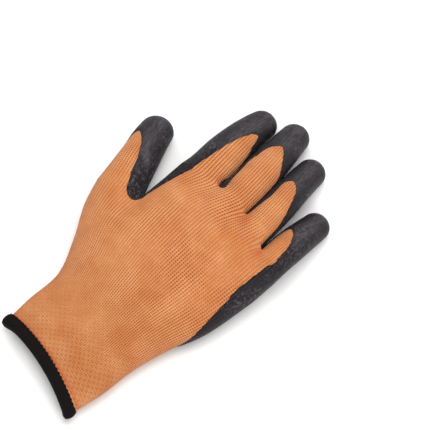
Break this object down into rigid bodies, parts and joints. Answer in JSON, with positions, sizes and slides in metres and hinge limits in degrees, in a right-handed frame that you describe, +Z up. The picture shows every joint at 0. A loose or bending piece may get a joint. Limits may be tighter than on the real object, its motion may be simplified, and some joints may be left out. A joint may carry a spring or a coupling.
{
  "type": "latex coated grip glove",
  "caption": "Right-hand knitted work glove with a latex dip over its palm, thumb and fingertips and an overlocked cuff, lying palm down.",
  "frame": {"origin": "centre of the bounding box in plan, on the floor the glove lies on", "axes": "+Y from the cuff toward the fingertips, +Z up out of the back of the hand, the thumb on the -X side"},
  "size_m": [0.1268, 0.2262, 0.036],
  "materials": {
    "knit_liner": "matte orange polyester knit",
    "latex_coating": "satin to crinkled black latex",
    "cuff_binding": "matte black overlocked thread"
  },
  "bodies": {
    "root": {"knit_liner": "knit_liner", "latex_coating": "latex_coating", "cuff_binding": "cuff_binding"}
  },
  "joints": []
}
